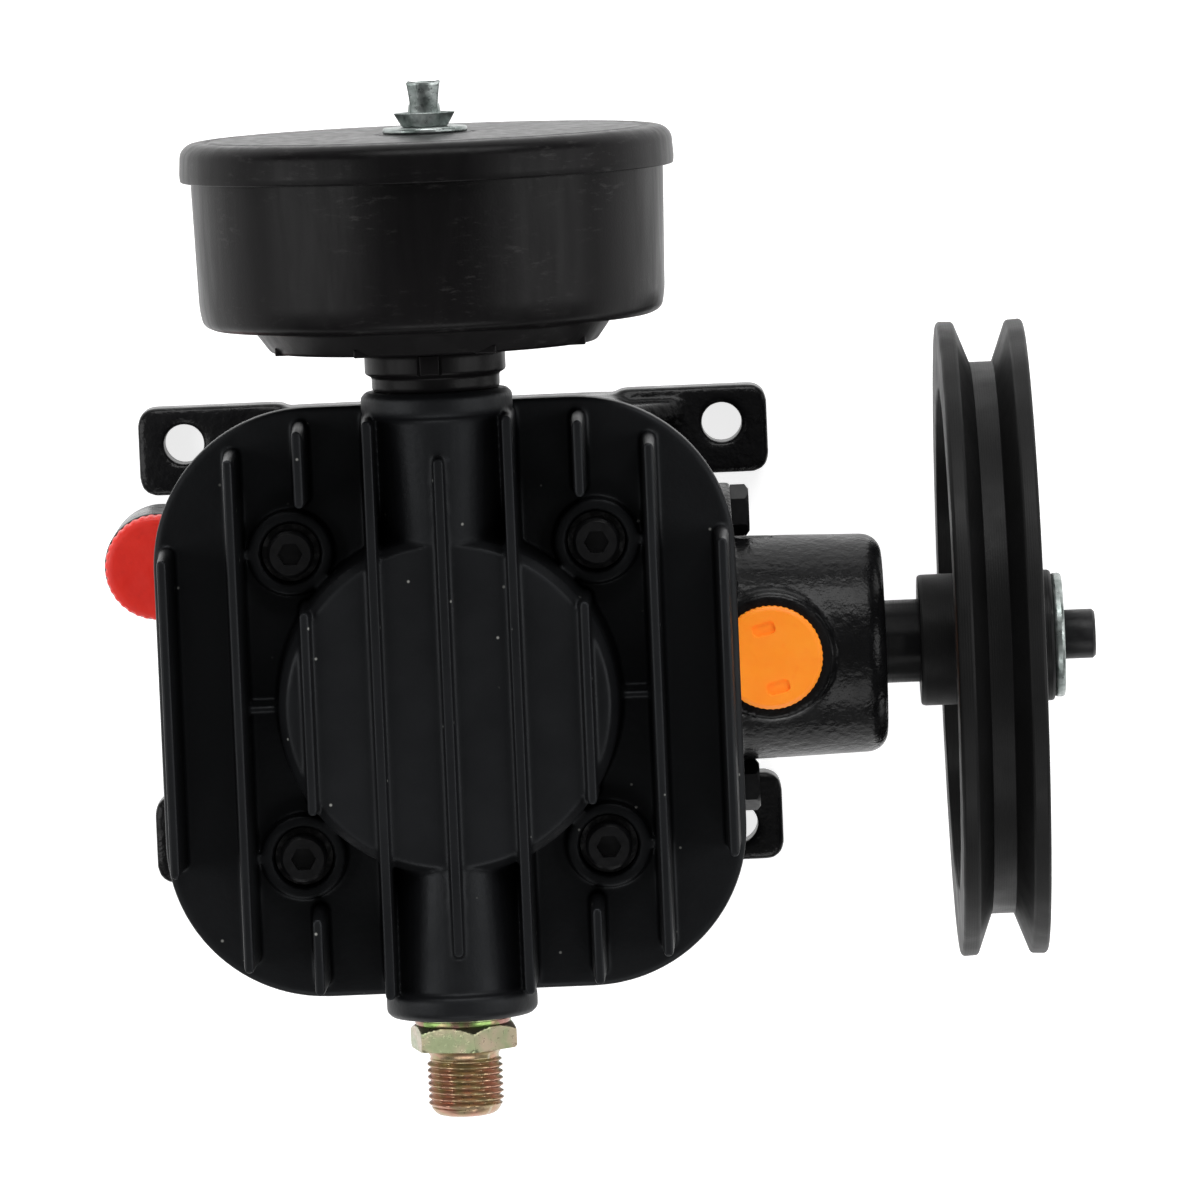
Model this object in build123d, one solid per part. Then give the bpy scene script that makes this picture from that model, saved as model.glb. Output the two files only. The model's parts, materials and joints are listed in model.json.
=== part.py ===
from build123d import *
import os
from math import cos, sin, pi, radians

os.makedirs("parts", exist_ok=True)

# Belt-driven single-cylinder air compressor. Millimetres.
# +Z is up the cylinder, +X runs along the crankshaft to the pulley, +Y points to the intake filter.
# The origin is the centre of the base hole pattern, on the mounting plane.

GAP = 0.05            # radial clearance of running and located fits
LOOSE = 0.5           # radial clearance of bolt holes

# Base and crankcase
HOLE_PITCH_X = 160
HOLE_PITCH_Y = 120
BASE_HOLE_R = 6
BASE_X = 187
BASE_Y = 142
EAR_Y = 26
EAR_HEIGHT = 14
BODY_X = 114
BODY_Y = 140
BODY_DRAFT = 1.2      # degrees
WALL = 10
DECK_Z = 146
FLOOR_Z = 12
CRANK_Z = 95
PAD_Y = 110
PAD_Z = 96
PAD_CORNER = 11
FRONT_PAD_X = 73
REAR_PAD_X = -60
FRONT_OPENING_R = 32
DRAIN = (-20, 22)     # X and Z of the drain plug
DRAIN_Y = -72         # face of the drain boss
DRAIN_R = 6
REAR_OPENING_R = 42

# Crank train
THROW = 16
ROD_LENGTH = 66
JOURNAL_R = 12.5
NECK_R = 12
CRANKPIN_R = 13
WEB_R = 32
WEB_INNER_X = 15
WEB_OUTER_X = 27
PIN_Z = CRANK_Z + THROW
WRIST_Z = PIN_Z + ROD_LENGTH
WRIST_R = 9
PISTON_R = 37.42
CROWN_Z = WRIST_Z + 20
SKIRT_Z = CROWN_Z - 36
BLOCK_HALF = 20
PARTING_Z = PIN_Z + BLOCK_HALF
SHELL = 2

# Ball bearings, 25 x 52 x 15
BEARING_R = 26
BEARING_BORE_R = 12.5
BEARING_WIDTH = 15
BALL_R = 3.95
BALL_PITCH_R = 19.25
BALL_COUNT = 9
FRONT_BEARING_X = 60
REAR_BEARING_X = -61

# Front housing
GASKET = 0.5
FLANGE_X = 81
NOSE_X = 124
NOSE_R = 31.5
FRONT_BOLT_R = 40
INLET_PORT_X = 90.6
INLET_PORT_TOP = 129
INLET_PORT_R = 12

# Rear cover
REAR_FACE_X = -67.5
REAR_BOLT_Y = 47
REAR_BOLT_Z = 39
RETURN_PORT_X = -83.9
RETURN_PORT_Y = 33
RETURN_PORT_TOP = 126
RETURN_PORT_R = 10.5
RETURN_BOSS_R = 15.4
BREATHER_Z = 106

# Pulley
PULLEY_R = 92
RIM_START = 142.4
RIM_END = 167.4
HUB_START = 134
HUB_END = 172.7
HUB_R = 19
GROOVE_DEPTH = 12
GROOVE_TOP = 15
GROOVE_BOTTOM = 6.6
RIM_INNER_R = 73
WEB_HOLES = 5
WEB_HOLE_R = 14
WEB_HOLE_PITCH_R = 46
KEY_HALF = 4

# Cylinder, valves and head
BORE_R = 37.5
CYLINDER_TOP = 198
SPIGOT_BOTTOM = 130
SPIGOT_R = 42
SCREW_PITCH = 85
SCREW_R = 4
PLATE_SIDE = 120
PLATE_CORNER = 24
VALVE_PLATE_Z = 198.8
HEAD_GASKET_Z = 203.8
HEAD_Z = 204.6
SEAT_Z = 212
HEAD_X = 162
HEAD_Y = 165
HEAD_CORNER = 44
DOME_R = 47
DOME_TOP = 241
CHAMBER_TOP = 234
FIN_TOP = 245
FIN_PITCH = 19.3
FIN_FOOT = 4.4
FIN_DRAFT = 1.4       # degrees
PORT_Z = 225
PORT_Y = 87
COLLAR_R = 21
COLLAR_LENGTH = 7

# Intake filter, along Y at the port height
NECK_BORE_R = 11
NECK_SPIGOT_R = 14
FILTER_FLOOR_Y = 99
FILTER_STEP_Y = 106
FILTER_TOP_Y = 152
FILTER_R = 65.2
SKIRT_Y = 147
COVER_Y = 158
COVER_R = 68.3
STUD_R = 3

# Outlet fitting, pipe thread G 1/2
THREAD_R = 10.478
THREAD_START = -98.8
THREAD_END = -112.3
FITTING_END = -115.1
FITTING_FLATS = 27
FITTING_BORE_R = 5.5
HEX_TURN = 42         # degrees, brings a corner 12 degrees from straight up
OUTLET_STEM_R = 10.45


# ---------------------------------------------------------------- helpers

def place(body, station, axis="z", centre=(0, 0)):
    """Stand a body built along Z on the given axis, its foot at the station."""
    first, second = centre
    if axis == "x":
        return Plane(origin=(station, first, second), x_dir=(0, 1, 0), z_dir=(1, 0, 0)) * body
    if axis == "y":
        return Plane(origin=(first, station, second), x_dir=(-1, 0, 0), z_dir=(0, 1, 0)) * body
    return Pos(first, second, station) * body


def disc(radius, start, end, axis="z", centre=(0, 0)):
    """Round solid between two stations."""
    low = min(start, end)
    body = Cylinder(radius, abs(end - start), align=(Align.CENTER, Align.CENTER, Align.MIN))
    return place(body, low, axis, centre)


def ring(outer, inner, start, end, axis="z", centre=(0, 0)):
    """Round solid with a round hole through it."""
    low = min(start, end)
    high = max(start, end)
    return disc(outer, low, high, axis, centre) - disc(inner, low - 1, high + 1, axis, centre)


def block(x, y, z):
    """Box between two values on each axis."""
    size = (x[1] - x[0], y[1] - y[0], z[1] - z[0])
    middle = ((x[0] + x[1]) / 2, (y[0] + y[1]) / 2, (z[0] + z[1]) / 2)
    return Pos(*middle) * Box(*size)


def slab(width, depth, corner, start, end, axis="z", centre=(0, 0), draft=0):
    """Rounded rectangular solid between two stations."""
    face = RectangleRounded(width, depth, corner)
    return place(extrude(face, end - start, taper=draft), start, axis, centre)


def prism(flats, start, end, axis="z", centre=(0, 0), turn=0):
    """Hexagonal solid, measured across its flats."""
    low = min(start, end)
    face = RegularPolygon(flats / 2, 6, major_radius=False, rotation=turn)
    return place(extrude(face, abs(end - start)), low, axis, centre)


def turned(outline, axis="z", centre=(0, 0), station=0):
    """Solid of revolution from (radius, height) points."""
    face = make_face(Plane.XZ * Polyline(*outline, close=True))
    return place(revolve(face, Axis.Z), station, axis, centre)


def corners(half_x, half_y):
    """The four corners of a rectangle about the centre."""
    return [(sx * half_x, sy * half_y) for sx in (-1, 1) for sy in (-1, 1)]


def around(count, radius, start=0):
    """Evenly spaced points on a circle."""
    angles = [start + 2 * pi * i / count for i in range(count)]
    return [(radius * cos(a), radius * sin(a)) for a in angles]


def chamfered_hex(flats, start, end, axis, centre=(0, 0), turn=0):
    """Hexagonal head whose outer corners are turned down towards its end."""
    height = abs(end - start)
    corner = flats / 2 * 1.155 + 0.1
    drop = height * 0.22
    cone = turned([(0, 0), (corner, 0), (corner, height - drop), (flats * 0.47, height), (0, height)])
    if end < start:
        cone = mirror(cone, Plane.XY)
        return prism(flats, start, end, axis, centre, turn) & place(cone, start, axis, centre)
    return prism(flats, start, end, axis, centre, turn) & place(cone, start, axis, centre)


SCREWS = corners(SCREW_PITCH / 2, SCREW_PITCH / 2)
FRONT_BOLTS = [(-FRONT_BOLT_R, CRANK_Z), (FRONT_BOLT_R, CRANK_Z), (0, CRANK_Z - FRONT_BOLT_R)]
REAR_BOLTS = [(a, CRANK_Z + b) for a, b in corners(REAR_BOLT_Y, REAR_BOLT_Z)]
AXIS = (0, CRANK_Z)


# ---------------------------------------------------------------- casing

def crankcase():
    ear_x = (BASE_X - BODY_X) / 2 + 10
    body = slab(BODY_X, BODY_Y, 12, 0, DECK_Z, draft=BODY_DRAFT)
    for x, y in corners((BASE_X - ear_x) / 2, (BASE_Y - EAR_Y) / 2):
        body += slab(ear_x, EAR_Y, 5, 0, EAR_HEIGHT, centre=(x, y))
        inward = 1 if x < 0 else -1
        rib = Plane.XZ * Polyline((x, EAR_HEIGHT - 1), (x + inward * ear_x / 2, EAR_HEIGHT - 1),
                                  (x + inward * ear_x / 2, EAR_HEIGHT + 22), close=True)
        body += Pos(0, y + 3, 0) * extrude(make_face(rib), 6)
    body += slab(PAD_Y, PAD_Z, PAD_CORNER, 45, FRONT_PAD_X, "x", AXIS)
    body += slab(PAD_Y, PAD_Z, PAD_CORNER, REAR_PAD_X, -44, "x", AXIS)
    body += disc(11, DRAIN_Y, -60, "y", DRAIN)
    cavity = slab(BODY_X - 2 * WALL - 4, BODY_Y - 2 * WALL - 6, 10, FLOOR_Z, DECK_Z - 8)
    for c in SCREWS:
        cavity -= disc(9.5, DECK_Z - 30, DECK_Z - 4, centre=c)
    body -= cavity
    body -= disc(SPIGOT_R + GAP, DECK_Z - 10, DECK_Z + 1)
    body -= disc(FRONT_OPENING_R, 40, FRONT_PAD_X + 1, "x", AXIS)
    body -= disc(REAR_OPENING_R, REAR_PAD_X - 1, -40, "x", AXIS)
    for x, y in corners(HOLE_PITCH_X / 2, HOLE_PITCH_Y / 2):
        body -= disc(BASE_HOLE_R, -1, EAR_HEIGHT + 20, centre=(x, y))
    for c in SCREWS:
        body -= disc(SCREW_R + GAP, DECK_Z - 24, DECK_Z + 1, centre=c)
    for c in FRONT_BOLTS:
        body -= disc(4 + GAP, 55, FRONT_PAD_X + 1, "x", c)
    for c in REAR_BOLTS:
        body -= disc(3 + GAP, REAR_PAD_X - 1, REAR_PAD_X + 14, "x", c)
    body -= disc(DRAIN_R + GAP, DRAIN_Y - 1, -50, "y", DRAIN)
    return body


def drain_plug():
    seat = DRAIN_Y - 1.5
    head = chamfered_hex(17, seat, seat - 6.5, "y", DRAIN)
    return head + disc(DRAIN_R, seat, -58, "y", DRAIN)


def drain_washer():
    return ring(9.5, DRAIN_R + GAP, DRAIN_Y - 1.5, DRAIN_Y, "y", DRAIN)


def front_flange(radius, start, end):
    """Round flange, cut flat below the upward-facing port."""
    return disc(radius, start, end, "x", AXIS) & block((start, end), (-60, 60), (0, INLET_PORT_TOP - 1))


def front_housing():
    length = NOSE_X - FLANGE_X + 3
    nose = turned([(0, 0), (NOSE_R + 1.2, 0), (NOSE_R, length), (0, length)], "x", AXIS, FLANGE_X - 3)
    nose = fillet(nose.edges().sort_by(Axis.X)[-1], 6)
    body = nose + front_flange(48, FRONT_PAD_X + GASKET, FLANGE_X)
    body += disc(FRONT_OPENING_R - GAP, FRONT_BEARING_X, FRONT_PAD_X + GASKET, "x", AXIS)
    body += turned([(0, CRANK_Z), (19.5, CRANK_Z), (18.4, INLET_PORT_TOP - 1), (17.4, INLET_PORT_TOP),
                    (0, INLET_PORT_TOP)], centre=(INLET_PORT_X, 0)) \
        & block((FRONT_PAD_X + GASKET, NOSE_X), (-30, 30), (CRANK_Z, INLET_PORT_TOP))
    body -= disc(BEARING_R + GAP, FRONT_BEARING_X - 1, FRONT_BEARING_X + BEARING_WIDTH, "x", AXIS)
    body -= disc(22, FRONT_BEARING_X, 110, "x", AXIS)
    body -= disc(20 + GAP, 109, 119, "x", AXIS)
    body -= disc(NECK_R + 1, 118, NOSE_X + 1, "x", AXIS)
    body -= disc(INLET_PORT_R, CRANK_Z + 15, INLET_PORT_TOP + 1, centre=(INLET_PORT_X, 0))
    for c in FRONT_BOLTS:
        body -= disc(4 + LOOSE, FRONT_PAD_X - 1, FLANGE_X + 1, "x", c)
        body -= disc(9, FLANGE_X, FLANGE_X + 12, "x", c)
    return body


def front_gasket():
    body = front_flange(47.5, FRONT_PAD_X, FRONT_PAD_X + GASKET)
    body -= disc(FRONT_OPENING_R, FRONT_PAD_X - 1, FRONT_PAD_X + 1, "x", AXIS)
    for c in FRONT_BOLTS:
        body -= disc(4 + LOOSE, FRONT_PAD_X - 1, FRONT_PAD_X + 1, "x", c)
    return body


def front_bolts():
    return [chamfered_hex(13, FLANGE_X, FLANGE_X + 5.3, "x", c) + disc(4, 57, FLANGE_X, "x", c)
            for c in FRONT_BOLTS]


def rear_cover():
    plate_x = REAR_PAD_X - GASKET
    body = slab(PAD_Y, PAD_Z, PAD_CORNER, REAR_FACE_X, plate_x, "x", AXIS)
    body += ring(REAR_OPENING_R - GAP, 36, plate_x, plate_x + 8, "x", AXIS)
    body += disc(31, plate_x, REAR_BEARING_X + BEARING_WIDTH, "x", AXIS)
    bulge = disc(33, REAR_FACE_X - 5, REAR_FACE_X, "x", AXIS)
    body += fillet(bulge.edges().sort_by(Axis.X)[0], 3)
    port = (RETURN_PORT_X, RETURN_PORT_Y)
    boss = disc(RETURN_BOSS_R, 84, RETURN_PORT_TOP, centre=port)
    body += fillet(boss.edges().sort_by(Axis.Z)[0], 6)
    body += block((RETURN_PORT_X, REAR_FACE_X), (RETURN_PORT_Y - 14, RETURN_PORT_Y + 14), (88, 121))
    body -= disc(BEARING_R + GAP, REAR_BEARING_X, -44, "x", AXIS)
    body -= disc(RETURN_PORT_R, 95, RETURN_PORT_TOP + 1, centre=port)
    body -= disc(6, RETURN_PORT_X, -50, "x", (RETURN_PORT_Y, BREATHER_Z))
    for c in REAR_BOLTS:
        body -= disc(3 + LOOSE, REAR_FACE_X - 1, plate_x + 1, "x", c)
    return body


def rear_gasket():
    body = slab(PAD_Y - 1, PAD_Z - 1, PAD_CORNER, REAR_PAD_X - GASKET, REAR_PAD_X, "x", AXIS)
    body -= disc(REAR_OPENING_R, REAR_PAD_X - 2, REAR_PAD_X + 2, "x", AXIS)
    for c in REAR_BOLTS:
        body -= disc(3 + LOOSE, REAR_PAD_X - 2, REAR_PAD_X + 2, "x", c)
    return body


def rear_bolts():
    bolts = []
    for c in REAR_BOLTS:
        head = chamfered_hex(10, REAR_FACE_X, REAR_FACE_X - 4, "x", c)
        bolts.append(head + disc(3, REAR_FACE_X, REAR_PAD_X + 12, "x", c))
    return bolts


def shaft_seal():
    outline = [(JOURNAL_R + 2.5, 0), (20, 0), (20, 7), (JOURNAL_R + 2.5, 7), (JOURNAL_R + GAP, 5),
               (JOURNAL_R + GAP, 3.5), (JOURNAL_R + 1.5, 2)]
    return turned(outline, "x", AXIS, 111.5)


# ---------------------------------------------------------------- bearings

def bearing_outer(start):
    body = ring(BEARING_R, 22, start, start + BEARING_WIDTH, "x", AXIS)
    return body - race(start)


def bearing_inner(start):
    body = ring(16.5, BEARING_BORE_R + GAP, start, start + BEARING_WIDTH, "x", AXIS)
    return body - race(start)


def race(start):
    """Round groove that the balls run in."""
    return place(Torus(BALL_PITCH_R, BALL_R + 0.06), start + BEARING_WIDTH / 2, "x", AXIS)


def bearing_balls(start):
    middle = start + BEARING_WIDTH / 2
    return [Pos(middle, a, CRANK_Z + b) * Sphere(BALL_R) for a, b in around(BALL_COUNT, BALL_PITCH_R)]


# ---------------------------------------------------------------- crank train

def crank_web(start, end):
    """Counterweight below the axis and an eye round the crankpin above it."""
    weight = Circle(WEB_R) & Pos(0, -18) * Rectangle(80, 32)
    arm = Pos(0, 6) * Rectangle(31, 20)
    eye = Pos(0, THROW) * Circle(15.5)
    return place(extrude(weight + arm + eye, end - start), start, "x", AXIS)


def crankshaft():
    body = disc(JOURNAL_R, REAR_BEARING_X + 1, -WEB_OUTER_X, "x", AXIS)
    body += disc(15, REAR_BEARING_X + BEARING_WIDTH + 0.2, -WEB_OUTER_X, "x", AXIS)
    body += crank_web(-WEB_OUTER_X, -WEB_INNER_X)
    body += disc(CRANKPIN_R, -WEB_INNER_X, WEB_INNER_X, "x", (0, PIN_Z))
    body += crank_web(WEB_INNER_X, WEB_OUTER_X)
    body += disc(15, WEB_OUTER_X, FRONT_BEARING_X - 0.2, "x", AXIS)
    body += disc(JOURNAL_R, WEB_OUTER_X, 120, "x", AXIS)
    body += disc(NECK_R, 120, HUB_END - 2.5, "x", AXIS)
    body -= block((138, 166), (-KEY_HALF - GAP, KEY_HALF + GAP), (CRANK_Z + 8 - GAP, CRANK_Z + 20))
    body -= disc(4 + GAP, 140, HUB_END, "x", AXIS)
    body -= disc(2.5 + GAP, REAR_BEARING_X, REAR_BEARING_X + 7, "x", (0, CRANK_Z + THROW / 2))
    return body


def gallery_plug():
    return disc(2.5, REAR_BEARING_X + 1, REAR_BEARING_X + 6.5, "x", (0, CRANK_Z + THROW / 2))


def pulley_key():
    return block((138.1, 165.9), (-KEY_HALF, KEY_HALF), (CRANK_Z + 8, CRANK_Z + 15))


def pulley():
    middle = (RIM_START + RIM_END) / 2
    bottom = PULLEY_R - GROOVE_DEPTH
    outline = [
        (NECK_R + GAP, HUB_START), (HUB_R, HUB_START), (HUB_R, middle - 5), (RIM_INNER_R, middle - 4),
        (RIM_INNER_R, RIM_START), (PULLEY_R - 0.8, RIM_START), (PULLEY_R, RIM_START + 0.8),
        (PULLEY_R, middle - GROOVE_TOP / 2), (bottom, middle - GROOVE_BOTTOM / 2),
        (bottom, middle + GROOVE_BOTTOM / 2), (PULLEY_R, middle + GROOVE_TOP / 2),
        (PULLEY_R, RIM_END - 0.8), (PULLEY_R - 0.8, RIM_END), (RIM_INNER_R, RIM_END),
        (RIM_INNER_R, middle + 4), (HUB_R, middle + 5), (HUB_R, HUB_END), (NECK_R + GAP, HUB_END),
    ]
    body = turned(outline, "x", AXIS)
    for a, b in around(WEB_HOLES, WEB_HOLE_PITCH_R, pi / 2):
        body -= disc(WEB_HOLE_R, HUB_START, HUB_END, "x", (a, CRANK_Z + b))
    keyway = (-KEY_HALF - GAP, KEY_HALF + GAP)
    return body - block((HUB_START - 1, HUB_END + 1), keyway, (CRANK_Z, CRANK_Z + 15.3))


def pulley_washer():
    return ring(18, 4.5, HUB_END, HUB_END + 3, "x", AXIS)


def pulley_bolt():
    start = HUB_END + 3
    head = disc(7.15, start, start + 9.3, "x", AXIS)
    head = chamfer(head.edges().sort_by(Axis.X)[-1], 0.8)
    head -= prism(8, start + 4, start + 10, "x", AXIS)
    return head + disc(4, 143, start, "x", AXIS)


def big_end_body():
    return block((-14, 14), (-26, 26), (PIN_Z - BLOCK_HALF, PARTING_Z)) \
        - disc(CRANKPIN_R + SHELL + GAP, -15, 15, "x", (0, PIN_Z))


def big_end_block():
    body = big_end_body() & block((-20, 20), (-30, 30), (PIN_Z, PARTING_Z))
    for y in (-20.5, 20.5):
        body -= disc(3 + GAP, PIN_Z - 1, PARTING_Z - 5, centre=(0, y))
    return body


def big_end_cap():
    body = big_end_body() & block((-20, 20), (-30, 30), (PIN_Z - BLOCK_HALF, PIN_Z))
    for y in (-20.5, 20.5):
        body -= disc(3 + LOOSE, PIN_Z - BLOCK_HALF - 1, PIN_Z + 1, centre=(0, y))
    return body


def big_end_shells():
    whole = ring(CRANKPIN_R + SHELL, CRANKPIN_R + GAP, -13, 13, "x", (0, PIN_Z))
    upper = whole & block((-20, 20), (-20, 20), (PIN_Z + 0.02, PIN_Z + 20))
    lower = whole & block((-20, 20), (-20, 20), (PIN_Z - 20, PIN_Z - 0.02))
    return [upper, lower]


def big_end_bolts():
    seat = PIN_Z - BLOCK_HALF
    return [chamfered_hex(10, seat, seat - 5, "z", (0, y)) + disc(3, seat, PARTING_Z - 6, centre=(0, y))
            for y in (-20.5, 20.5)]


def connecting_rod():
    foot = block((-11, 11), (-22, 22), (PARTING_Z + 0.1, PARTING_Z + 7))
    shank = block((-7, 7), (-9, 9), (PARTING_Z + 5, WRIST_Z - 5))
    flutes = block((-8, -2.2), (-5.5, 5.5), (PARTING_Z + 9, WRIST_Z - 15)) \
        + block((2.2, 8), (-5.5, 5.5), (PARTING_Z + 9, WRIST_Z - 15))
    eye = disc(14, -9.5, 9.5, "x", (0, WRIST_Z))
    body = foot + shank - flutes + eye
    return body - disc(WRIST_R + 2 + GAP, -12, 12, "x", (0, WRIST_Z))


def small_end_bush():
    return ring(WRIST_R + 2, WRIST_R + GAP, -9.5, 9.5, "x", (0, WRIST_Z))


def gudgeon_pin():
    return ring(WRIST_R, 5.5, -30, 30, "x", (0, WRIST_Z))


def gudgeon_circlips():
    return [ring(WRIST_R + 0.8, 7.4, side * 30.1, side * 31.3, "x", (0, WRIST_Z)) for side in (-1, 1)]


RING_GROOVES = {"top_ring": (CROWN_Z - 6.5, 2.5), "second_ring": (CROWN_Z - 11, 2.5)}
OIL_GROOVE = (SKIRT_Z + 3, 4)


def piston():
    body = disc(PISTON_R, SKIRT_Z, CROWN_Z)
    body = chamfer(body.edges().sort_by(Axis.Z)[-1], 0.6)
    hollow = disc(32.5, SKIRT_Z - 1, CROWN_Z - 5.5)
    hollow -= disc(13, 10.5, 40, "x", (0, WRIST_Z)) + disc(13, -40, -10.5, "x", (0, WRIST_Z))
    body -= hollow
    body -= disc(WRIST_R + GAP, -40, 40, "x", (0, WRIST_Z))
    for side in (-1, 1):
        body -= disc(WRIST_R + 1, side * 30, side * 31.5, "x", (0, WRIST_Z))
    for low, height in list(RING_GROOVES.values()) + [OIL_GROOVE]:
        body -= ring(PISTON_R + 1, 34, low - 0.05, low + height + 0.05)
    return body


def piston_ring(groove):
    low, height = groove
    body = ring(BORE_R - GAP, 34.3, low, low + height)
    return body - block((30, 40), (-0.3, 0.3), (low - 1, low + height + 1))


# ---------------------------------------------------------------- cylinder and valves

def screw_holes(body, low, high, radius=SCREW_R + LOOSE):
    """Cut the four head screw holes through a flat piece."""
    for c in SCREWS:
        body -= disc(radius, low, high, centre=c)
    return body


def cylinder():
    foot = DECK_Z + GASKET
    body = disc(SPIGOT_R, SPIGOT_BOTTOM, foot + 1) + disc(BORE_R + 7, foot, CYLINDER_TOP)
    body += slab(108, 108, 20, foot, foot + 8)
    body += slab(PLATE_SIDE, PLATE_SIDE, PLATE_CORNER, CYLINDER_TOP - 7, CYLINDER_TOP)
    for c in SCREWS:
        body += disc(9, foot, CYLINDER_TOP, centre=c)
    for i in range(4):
        z = foot + 13 + 6.8 * i
        body += slab(134, 134, 34, z, z + 2.6)
    body -= disc(BORE_R, SPIGOT_BOTTOM - 1, CYLINDER_TOP + 1)
    return screw_holes(body, foot - 1, CYLINDER_TOP + 1)


def cylinder_base_gasket():
    body = slab(107, 107, 20, DECK_Z, DECK_Z + GASKET) - disc(SPIGOT_R + LOOSE, DECK_Z - 1, DECK_Z + 2)
    return screw_holes(body, DECK_Z - 1, DECK_Z + 2)


def valve_plate_gasket():
    body = slab(119, 119, PLATE_CORNER, CYLINDER_TOP, VALVE_PLATE_Z)
    body -= disc(BORE_R + LOOSE, CYLINDER_TOP - 1, VALVE_PLATE_Z + 1)
    return screw_holes(body, CYLINDER_TOP - 1, VALVE_PLATE_Z + 1)


VALVE_HOLES = [-13.5, -4.5, 4.5, 13.5]
VALVE_Y = 20
RIVETS = [(-22, -VALVE_Y), (22, -VALVE_Y)]


def valve_plate():
    body = slab(PLATE_SIDE, PLATE_SIDE, PLATE_CORNER, VALVE_PLATE_Z, HEAD_GASKET_Z)
    for x in VALVE_HOLES:
        body -= disc(3.2, VALVE_PLATE_Z - 1, HEAD_GASKET_Z + 1, centre=(x, VALVE_Y))
        body -= disc(3.2, VALVE_PLATE_Z - 1, HEAD_GASKET_Z + 1, centre=(x, -VALVE_Y))
    for c in RIVETS:
        body -= disc(2 + GAP, VALVE_PLATE_Z - 1, HEAD_GASKET_Z + 1, centre=c)
    return screw_holes(body, VALVE_PLATE_Z - 1, HEAD_GASKET_Z + 1)


def suction_reed():
    return slab(40, 12, 5.5, VALVE_PLATE_Z - 0.4, VALVE_PLATE_Z, centre=(0, VALVE_Y))


def delivery_reed():
    body = slab(52, 12, 5.5, HEAD_GASKET_Z, HEAD_GASKET_Z + 0.4, centre=(0, -VALVE_Y))
    return rivet_holes(body)


def delivery_valve_stop():
    body = slab(52, 10, 4.5, HEAD_GASKET_Z + 0.4, HEAD_GASKET_Z + 2.4, centre=(0, -VALVE_Y))
    return rivet_holes(body)


def rivet_holes(body):
    for c in RIVETS:
        body -= disc(2 + GAP, HEAD_GASKET_Z - 1, HEAD_GASKET_Z + 4, centre=c)
    return body


def valve_rivets():
    top = HEAD_GASKET_Z + 2.4
    return [disc(2, VALVE_PLATE_Z, top, centre=c) + disc(3.4, top, top + 1.4, centre=c) for c in RIVETS]


def head_gasket():
    body = slab(119, 119, PLATE_CORNER, HEAD_GASKET_Z, HEAD_Z)
    body -= chamber(1, HEAD_GASKET_Z - 1, HEAD_Z + 1) + chamber(-1, HEAD_GASKET_Z - 1, HEAD_Z + 1)
    return screw_holes(body, HEAD_GASKET_Z - 1, HEAD_Z + 1)


def chamber(side, low, high):
    """Half-round chamber on one side of the dividing wall."""
    reach = (3, 50) if side > 0 else (-50, -3)
    return disc(41, low, high) & block((-50, 50), reach, (low, high))


def fin(x, y0, y1, top=FIN_TOP, foot=FIN_FOOT):
    """Upright cooling fin with rounded, drafted ends."""
    face = RectangleRounded(foot, y1 - y0, foot * 0.48)
    return Pos(x, (y0 + y1) / 2, SEAT_Z - 1) * extrude(face, top - SEAT_Z + 1, taper=FIN_DRAFT)


def head_fins():
    fins = [fin(0, -70, 70)]
    for side in (-1, 1):
        fins.append(fin(side * FIN_PITCH, -81, 81))
        fins.append(fin(side * 2 * FIN_PITCH, 56, 79))
        fins.append(fin(side * 2 * FIN_PITCH, -79, -56))
        fins.append(fin(side * 2 * FIN_PITCH, -29, 29))
        fins.append(fin(side * 3 * FIN_PITCH, -72, 72))
        fins.append(fin(side * 4 * FIN_PITCH, -45, 45))
    return fins


def port(side):
    """Tapered barrel and rounded collar of an intake or outlet port."""
    inner = 40
    start = PORT_Y - COLLAR_LENGTH
    outline = [(0, inner), (15.5, inner), (18.6, start), (COLLAR_R - 0.6, start), (COLLAR_R, start + 1.5),
               (COLLAR_R, PORT_Y - 1.5), (COLLAR_R - 1.5, PORT_Y), (0, PORT_Y)]
    body = turned(outline, "y", (0, PORT_Z))
    return body if side > 0 else mirror(body, Plane.XZ)


def head_webs():
    """Low webs that tie the dome and screw bosses to the outer fins."""
    webs = []
    for side in (-1, 1):
        reach = sorted((side * (DOME_R - 3), side * 3 * FIN_PITCH))
        webs.append(block(reach, (-1.2, 1.2), (SEAT_Z - 1, 226)))
        reach = sorted((side * 50, side * 3 * FIN_PITCH))
        for y in (-42.5, 42.5):
            webs.append(block(reach, (y - 1.2, y + 1.2), (SEAT_Z - 1, 218)))
    return webs


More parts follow.
